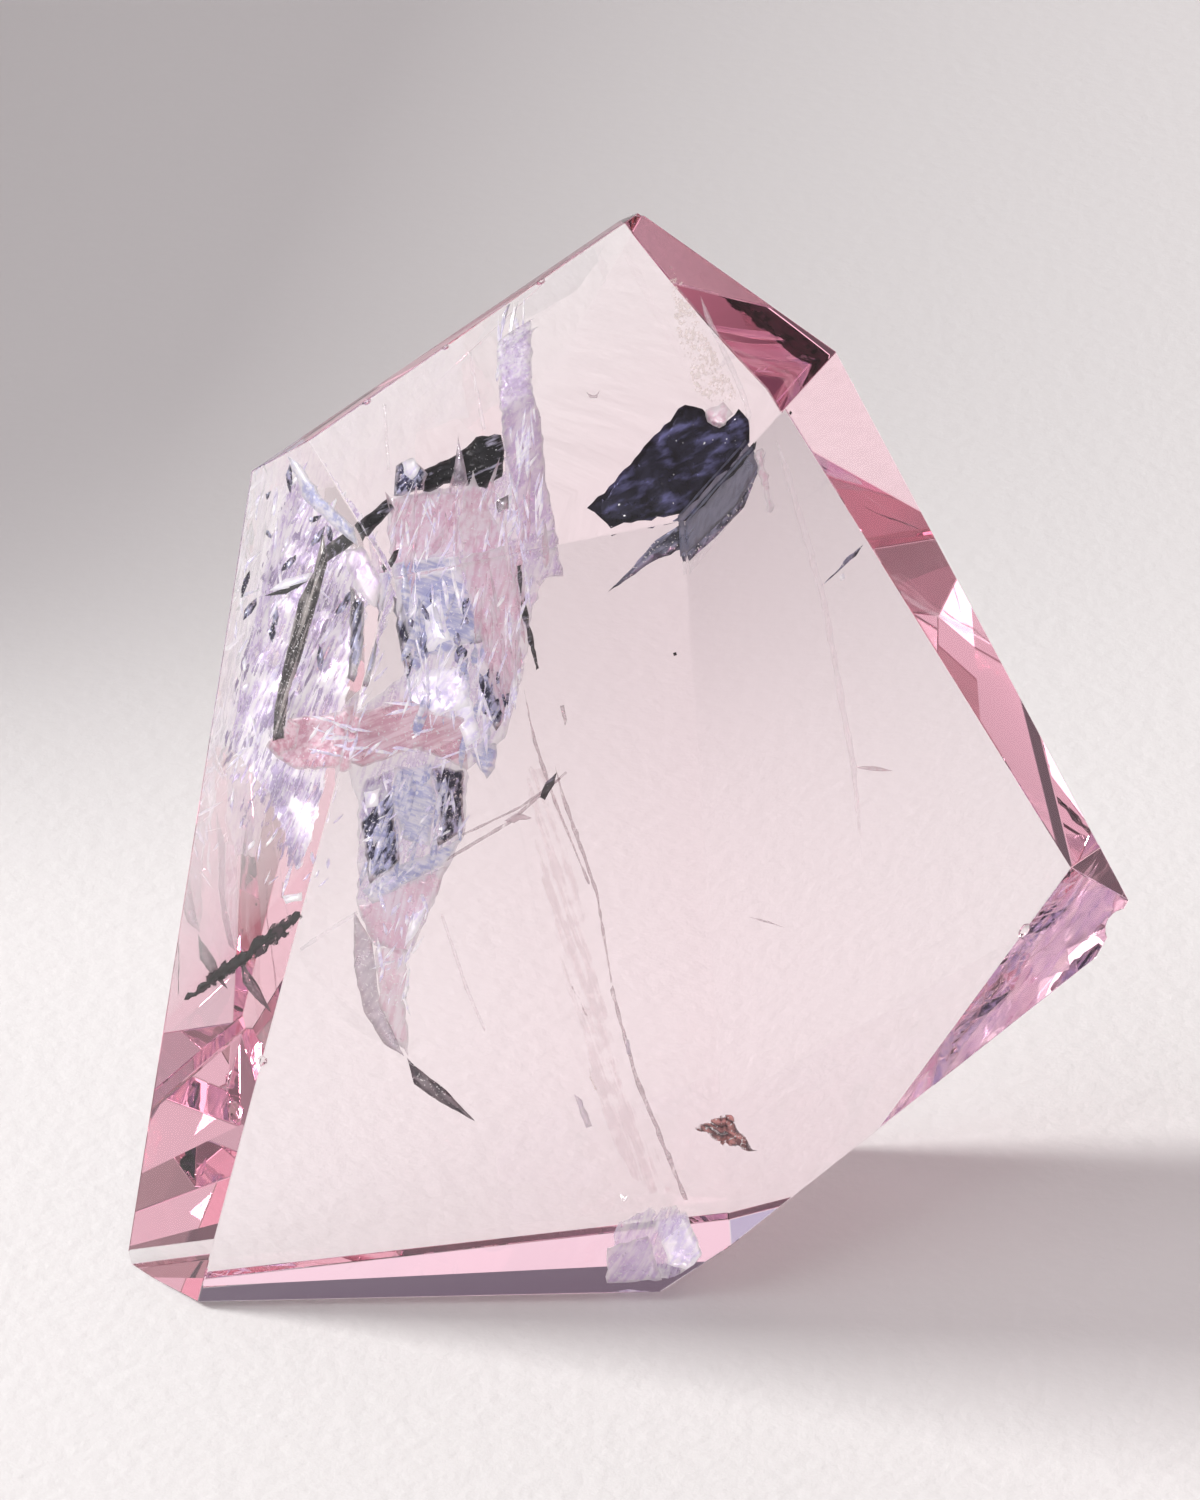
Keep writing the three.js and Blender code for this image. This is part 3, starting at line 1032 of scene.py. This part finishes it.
@dataclass
class SteppedBreak(Inclusions):
    """The stepped break that comes down through the left half of the stone."""

    patches: tuple[Patch, ...] = (
        Patch("mass_top", Look.MASS, (
            (386, 502), (425, 490), (470, 482), (505, 470), (500, 400), (494, 340), (504, 304), (526, 301),
            (530, 380), (541, 425), (545, 485), (556, 540), (520, 551), (460, 560), (392, 574)), depth=0.24,
            aim=(10, 14)),
        Patch("mass_front", Look.MASS, (
            (394, 580), (460, 566), (520, 554), (556, 547), (545, 580), (534, 604), (522, 680), (505, 738),
            (467, 770), (465, 832), (438, 890), (412, 952), (372, 944), (357, 905), (358, 800), (346, 764),
            (356, 712), (404, 674), (398, 620)), depth=0.27, aim=(8, 2)),
        Patch("left_clouds", Look.CLOUDS, (
            (252, 474), (298, 454), (358, 538), (384, 582), (346, 740), (318, 850), (300, 896), (284, 870),
            (262, 800), (210, 740), (222, 640), (236, 540)), depth=0.42, aim=(-48, 20), relief=0.2 * MM,
            fade=10.0),
        Patch("left_shades", Look.SHADES, (
            (246, 500), (296, 462), (352, 560), (350, 700), (330, 800), (306, 880), (270, 890), (206, 790),
            (212, 690), (226, 600)), depth=0.36, aim=(-48, 20), relief=0.2 * MM, fade=10.0),
        Patch("ribbon", Look.LILAC, (
            (500, 306), (526, 301), (530, 380), (541, 425), (545, 485), (556, 540), (524, 548), (514, 500),
            (504, 440), (496, 380)), depth=0.16, aim=(20, 10)),
        Patch("under_bar", Look.PINK, (
            (390, 498), (425, 492), (457, 494), (460, 556), (394, 570)), depth=0.2, aim=(-10, 30)),
        Patch("pink_spike", Look.PINK, (
            (473, 470), (490, 512), (508, 545), (463, 556), (458, 520)), depth=0.14, aim=(15, 24)),
        Patch("pink_strip", Look.PINK, (
            (461, 564), (508, 554), (520, 610), (518, 690), (498, 712), (482, 640)), depth=0.17,
            aim=(14, -2)),
        Patch("pale_panel", Look.BLUE, (
            (394, 580), (460, 567), (468, 592), (482, 636), (447, 653), (416, 657)), depth=0.2, aim=(-8, 4)),
        Patch("panel_glint", Look.WHITE, (
            (420, 588), (440, 600), (450, 640), (428, 652)), depth=0.16, aim=(-36, 30)),
        Patch("left_ink_strip", Look.INK, (
            (393, 596), (403, 604), (414, 664), (405, 668), (399, 640)), depth=0.22, aim=(-30, 10)),
        Patch("middle_sparkle", Look.WHITE, (
            (404, 672), (464, 666), (470, 706), (440, 716), (408, 710)), depth=0.19, aim=(-30, 24)),
        Patch("right_ink", Look.INK, (
            (483, 676), (508, 668), (512, 700), (496, 731), (484, 706)), depth=0.2, aim=(10, 25)),
        Patch("right_ink_upper", Look.INK, (
            (466, 604), (480, 616), (486, 640), (474, 644)), depth=0.19, aim=(10, 25)),
        Patch("sparkle_column", Look.WHITE, (
            (452, 690), (468, 690), (480, 738), (466, 748), (456, 716)), depth=0.15, aim=(-36, 30)),
        Patch("lilac_fan", Look.BLUE, (
            (470, 750), (484, 739), (496, 743), (495, 768), (487, 779), (477, 764)), depth=0.2, aim=(0, 6)),
        Patch("ledge_front", Look.RED, (
            (354, 714), (409, 698), (432, 712), (464, 718), (468, 770), (416, 748), (362, 767), (347, 762)),
            depth=0.18, aim=(-5, 4)),
        Patch("ledge_left", Look.RED, (
            (266, 746), (289, 718), (320, 716), (351, 708), (342, 766), (302, 770), (277, 758)), depth=0.17,
            aim=(-44, 12)),
        Patch("ledge_tip", Look.RED, (
            (266, 746), (288, 719), (300, 726), (296, 748), (280, 756)), depth=0.15, aim=(-60, 0)),
        Patch("blue_pane", Look.BLUE, (
            (394, 768), (428, 764), (436, 800), (430, 846), (402, 838), (393, 800)), depth=0.2, aim=(-6, 8)),
        Patch("ink_pane_left", Look.INK, (
            (364, 782), (391, 770), (394, 820), (400, 860), (370, 884), (360, 812)), depth=0.23,
            aim=(-20, 24)),
        Patch("ink_pane_glint", Look.WHITE, (
            (364, 792), (380, 788), (378, 806), (366, 808)), depth=0.18, aim=(-36, 30)),
        Patch("ink_pane_right", Look.INK, (
            (432, 768), (463, 770), (463, 832), (438, 846), (439, 800)), depth=0.2, aim=(14, 20)),
        Patch("pane_foot", Look.BLUE, (
            (362, 890), (402, 864), (462, 838), (446, 862), (408, 882), (372, 904)), depth=0.18,
            aim=(-20, 20)),
        Patch("shard_head", Look.PINK, (
            (358, 906), (404, 884), (448, 866), (440, 888), (416, 930), (402, 956), (372, 940)), depth=0.18,
            aim=(-14, 4)),
        Patch("shard_glint", Look.WHITE, (
            (402, 908), (434, 890), (418, 930), (404, 948), (412, 920)), depth=0.15, aim=(-36, 30)),
        Patch("shard", Look.PINK, (
            (376, 948), (408, 950), (405, 1004), (408, 1056), (393, 1040), (378, 1000)), depth=0.18,
            aim=(0, 0)),
        Patch("shard_film", Look.FILM, (
            (354, 912), (372, 942), (380, 1002), (404, 1056), (384, 1044), (364, 1012), (354, 966)),
            depth=0.2, aim=(-14, 0), ragged=0.8),
        Patch("left_strip", Look.BLUE, (
            (287, 456), (300, 464), (322, 498), (354, 528), (358, 546), (336, 530), (306, 502)), depth=0.15,
            aim=(-44, 20)),
        Patch("left_edge_band", Look.LILAC, (
            (344, 550), (362, 546), (382, 584), (376, 608), (356, 590)), depth=0.14, aim=(-44, 30)),
        Patch("left_ink", Look.INK, (
            (350, 586), (364, 602), (364, 640), (354, 682), (347, 678), (351, 630)), depth=0.18,
            aim=(-40, 14)),
        Patch("top_cloud", Look.CLOUD, (
            (330, 440), (400, 388), (470, 340), (476, 380), (440, 430), (380, 470)), depth=0.2,
            aim=(-20, 44), fade=34.0),
        Patch("top_line", Look.PALE_HAIR, (
            (383, 404), (386, 404), (390, 470), (387, 470)), depth=0.15, aim=(-12, 48), ragged=0.6),
        Patch("top_line_right", Look.PALE_HAIR, (
            (468, 352), (471, 352), (486, 430), (482, 430)), depth=0.15, aim=(-12, 48), ragged=0.8))


@dataclass
class DarkBlades(Inclusions):
    """Dark striated blades, needles and the black feather in the left half of the stone."""

    patches: tuple[Patch, ...] = (
        Patch("bar_right", Look.BAR, (
            (424, 470), (440, 462), (456, 455), (476, 437), (501, 435), (504, 458), (502, 476), (486, 488),
            (452, 483), (430, 492), (420, 488)), depth=0.12, aim=(-14, 40)),
        Patch("bar_knot", Look.INK, (
            (396, 466), (412, 458), (428, 474), (424, 490), (394, 496)), depth=0.11, aim=(-32, 40)),
        Patch("bar_glint", Look.WHITE, (
            (402, 462), (414, 458), (420, 468), (412, 480), (404, 474)), depth=0.1, aim=(-32, 40)),
        Patch("bar_left", Look.BAR, (
            (360, 521), (388, 498), (394, 508), (368, 537)), depth=0.12, aim=(-14, 40), ragged=1.2),
        Patch("bar_end", Look.BAR, (
            (326, 546), (340, 536), (354, 529), (357, 541), (344, 551), (327, 562)), depth=0.16,
            aim=(-46, 12), ragged=1.2),
        Patch("bar_tail", Look.INK, (
            (496, 500), (508, 494), (508, 508), (498, 512)), depth=0.12, aim=(-10, 40)),
        Patch("pale_spike", Look.FILM, (
            (458, 436), (464, 462), (469, 486), (452, 486), (455, 462)), depth=0.09, aim=(-10, 40),
            ragged=0.6),
        Patch("long_blade", Look.BLADE, (
            (323, 531), (328, 560), (317, 603), (302, 655), (289, 692), (284, 738), (273, 741), (275, 706),
            (287, 650), (299, 600), (314, 572)), depth=0.1, aim=(-46, 10), relief=0.03 * MM, ragged=0.5),
        Patch("small_blade", Look.WHITE, (
            (268, 591), (285, 579), (313, 572), (305, 583), (284, 589)), depth=0.12, aim=(-46, 32),
            relief=0.03 * MM, ragged=0.6),
        Patch("small_blade_edge", Look.SPECK, (
            (264, 596), (285, 588), (308, 581), (286, 594)), depth=0.11, aim=(-46, 10), relief=0.03 * MM,
            ragged=0.4),
        Patch("little_flake", Look.BAR, (
            (388, 562), (394, 551), (399, 549), (396, 560), (391, 568)), depth=0.12, aim=(-10, 40),
            ragged=0.8),
        Patch("ragged_crack", Look.BAR, (
            (517, 566), (521, 565), (525, 600), (539, 668), (536, 670), (522, 612)), depth=0.16, aim=(0, 0),
            ragged=1.2, spacing=4.0),
        Patch("needle", Look.NEEDLE, (
            (407, 1058), (415, 1066), (446, 1090), (475, 1121), (440, 1102), (414, 1084)), depth=0.2,
            aim=(0, 0), ragged=0.5),
        Patch("feather", Look.FEATHER, (
            (178, 1004), (206, 968), (240, 944), (270, 918), (303, 902), (300, 926), (290, 942), (250, 970),
            (212, 996), (184, 1005)), depth=0.09, aim=(-46, 6), fade=6.0),
        Patch("feather_core", Look.SPECK, (
            (184, 1000), (214, 972), (250, 946), (276, 926), (298, 912), (294, 924), (262, 946), (226, 974),
            (192, 997)), depth=0.08, aim=(-46, 6), ragged=3.5, spacing=4.0),
        Patch("feather_glint", Look.WHITE, (
            (282, 896), (302, 892), (302, 901), (286, 904)), depth=0.07, aim=(-46, 32)),
        Patch("cross_ticks", Look.BAR, (
            (540, 797), (546, 782), (557, 772), (554, 785), (545, 800)), depth=0.25, aim=(0, 0), ragged=0.8))


@dataclass
class NavyFlake(Inclusions):
    """The navy flake high in the stone, with its wispy column and the sheets around it."""

    patches: tuple[Patch, ...] = (
        Patch("flake", Look.NAVY, (
            (586, 507), (614, 481), (648, 441), (684, 405), (701, 409), (710, 421), (722, 424), (737, 409),
            (747, 420), (748, 442), (731, 463), (706, 487), (682, 512), (644, 519), (610, 527), (600, 517)),
            depth=0.09, aim=(-11, 47), relief=0.06 * MM),
        Patch("flake_notch", Look.PINK, (
            (704, 410), (722, 402), (732, 414), (718, 428), (706, 422)), depth=0.08, aim=(-20, 40)),
        Patch("column", Look.PEACH, (
            (664, 234), (680, 262), (706, 318), (734, 376), (746, 412), (716, 412), (690, 402), (672, 350),
            (662, 290)), depth=0.12, aim=(0, 46), fade=6.0),
        Patch("column_rim", Look.PALE_HAIR, (
            (700, 296), (716, 330), (740, 384), (750, 414), (746, 432), (742, 404), (726, 366), (704, 316)),
            depth=0.1, aim=(0, 46), ragged=0.6),
        Patch("sheet", Look.STEEL, (
            (685, 522), (752, 446), (760, 470), (736, 514), (687, 556)), depth=0.1, aim=(34, 4),
            relief=0.02 * MM, ragged=0.5),
        Patch("sheet_edge", Look.SLATE, (
            (687, 554), (712, 530), (740, 502), (766, 452), (744, 507), (716, 537), (689, 561)), depth=0.09,
            aim=(34, 4), relief=0.02 * MM, ragged=0.4),
        Patch("sheet_glint", Look.PALE_HAIR, (
            (688, 562), (712, 541), (738, 512), (710, 549), (690, 574)), depth=0.09, aim=(34, 0),
            ragged=0.5),
        Patch("wisps", Look.PINK, (
            (754, 454), (762, 448), (768, 480), (773, 510), (767, 512), (761, 484)), depth=0.08,
            aim=(34, 0), ragged=3.0, spacing=4.0),
        Patch("spear", Look.SLATE, (
            (681, 524), (682, 549), (652, 562), (608, 592), (634, 566), (656, 540)), depth=0.1, aim=(2, 6),
            relief=0.04 * MM, ragged=1.0))


@dataclass
class Veils(Inclusions):
    """The long healed veil, the broken corner at its foot and the fine crossing cracks."""

    patches: tuple[Patch, ...] = (
        Patch("veil", Look.VEIL, (
            (510, 760), (556, 748), (578, 830), (606, 950), (630, 1050), (664, 1130), (694, 1208),
            (640, 1210), (602, 1150), (578, 1080), (556, 1000), (540, 930), (522, 850)), depth=0.45,
            aim=(20, 4), fade=14.0),
        Patch("veil_right_line", Look.HAIR, (
            (555, 766), (566, 800), (598, 892), (613, 985), (611, 985), (595, 892), (563, 803)), depth=0.42,
            aim=(20, 4), ragged=1.0),
        Patch("veil_left_line", Look.HAIR, (
            (524, 690), (536, 740), (556, 800), (590, 884), (588, 884), (553, 802), (533, 742)), depth=0.42,
            aim=(20, 4), ragged=1.0),
        Patch("veil_edge", Look.HAIR, (
            (613, 985), (638, 1077), (688, 1200), (684, 1200), (634, 1077), (610, 990)), depth=0.43,
            aim=(20, 4), ragged=1.4),
        Patch("veil_streak", Look.HAIR, (
            (544, 930), (556, 950), (590, 1010), (612, 1060), (602, 1056), (574, 1004), (548, 950)),
            depth=0.46, aim=(20, 4), ragged=2.0, fade=5.0),
        Patch("orange_tint", Look.PEACH, (
            (576, 1062), (596, 1070), (608, 1094), (588, 1098)), depth=0.45, aim=(20, 4), fade=7.0),
        Patch("lilac_tint", Look.LILAC, (
            (574, 1094), (582, 1100), (592, 1126), (586, 1128)), depth=0.45, aim=(20, 4), ragged=1.0),
        Patch("corner", Look.MASS, (
            (606, 1226), (638, 1206), (684, 1200), (706, 1254), (702, 1276), (662, 1287), (604, 1285)),
            depth=0.2, aim=(-4, 4), fade=5.0),
        Patch("corner_glint", Look.WHITE, (
            (656, 1222), (686, 1212), (702, 1254), (692, 1272), (668, 1264)), depth=0.14, aim=(-20, 20),
            fade=5.0),
        Patch("corner_lilac", Look.LILAC, (
            (607, 1248), (648, 1236), (662, 1280), (607, 1284)), depth=0.17, aim=(0, 0), fade=5.0),
        Patch("corner_sparkles", Look.CLOUD, (
            (606, 1184), (634, 1180), (642, 1206), (614, 1212)), depth=0.2, aim=(-20, 20), fade=6.0),
        Patch("crossing_crack", Look.HAIR, (
            (430, 868), (508, 821), (566, 771), (567, 773), (510, 824), (432, 870)), depth=0.3,
            aim=(10, 20), ragged=0.5),
        Patch("crossing_crack_upper", Look.HAIR, (
            (462, 834), (520, 806), (560, 778), (561, 779), (521, 808), (463, 836)), depth=0.3,
            aim=(10, 20), ragged=0.5),
        Patch("crossing_red", Look.RED, (
            (504, 821), (516, 813), (532, 818), (514, 823)), depth=0.28, aim=(0, 0)),
        Patch("left_crack", Look.PALE_HAIR, (
            (300, 948), (330, 927), (357, 911), (358, 914), (331, 931), (301, 951)), depth=0.15,
            aim=(-10, 10), ragged=0.6),
        Patch("thin_line", Look.PALE_HAIR, (
            (440, 914), (443, 914), (469, 990), (486, 1030), (484, 1031), (466, 992)), depth=0.3,
            aim=(0, 0), ragged=0.5))


@dataclass
class SmallMarks(Inclusions):
    """The maroon fan and the small cracks and specks of the right half."""

    patches: tuple[Patch, ...] = (
        Patch("fan", Look.MAROON, (
            (682, 1127), (706, 1117), (726, 1110), (738, 1114), (750, 1134), (774, 1161), (744, 1156),
            (708, 1142)), depth=0.08, aim=(16, 4), relief=0.03 * MM, fade=6.0, across=True, spacing=5.0),
        Patch("right_crack", Look.SLATE, (
            (818, 588), (836, 572), (848, 556), (863, 545), (856, 556), (842, 568), (824, 584)), depth=0.2,
            aim=(34, 10), ragged=0.8),
        Patch("crack_glint", Look.WHITE, (
            (839, 576), (844, 573), (845, 578), (841, 581)), depth=0.18, aim=(34, 20), ragged=0.3),
        Patch("right_line", Look.PALE_HAIR, (
            (776, 440), (783, 470), (821, 600), (851, 770), (862, 860), (857, 770), (827, 600), (790, 470)),
            depth=0.3, aim=(40, 0), ragged=1.2),
        Patch("red_mark", Look.RED, (
            (855, 767), (872, 766), (893, 771), (874, 771)), depth=0.25, aim=(34, 0), ragged=0.8),
        Patch("scratch", Look.HAIR, (
            (749, 917), (768, 921), (786, 928), (768, 923)), depth=0.06, aim=(34, 0), ragged=0.4),
        Patch("speck", Look.SPECK, (
            (673, 653), (676, 652), (677, 655), (674, 656)), depth=0.1, aim=(0, 0), ragged=0.2),
        Patch("dash", Look.HAIR, (
            (560, 706), (564, 705), (567, 720), (565, 726)), depth=0.2, aim=(0, 0), ragged=0.4),
        Patch("purple_dash", Look.LILAC, (
            (625, 1038), (629, 1040), (631, 1056), (627, 1054)), depth=0.3, aim=(0, 0), ragged=0.4),
        Patch("ring", Look.HAIR, (
            (586, 392), (590, 398), (597, 398), (600, 390), (596, 395), (591, 395)), depth=0.08,
            aim=(-11, 48), relief=0.01 * MM, ragged=0.3, spacing=3.0))


def main() -> None:
    """Builds the studio and the stone with all that lies inside it."""
    logging.basicConfig(level=logging.INFO, format="%(name)s: %(message)s")
    studio = Studio()
    studio.build()
    sight = Sight(studio, Stone().dress())
    for group in (SteppedBreak, Splinters, DarkBlades, NavyFlake, Veils, SmallMarks):
        group(sight).build()
    bpy.context.view_layer.update()


if __name__ == "__main__":
    main()
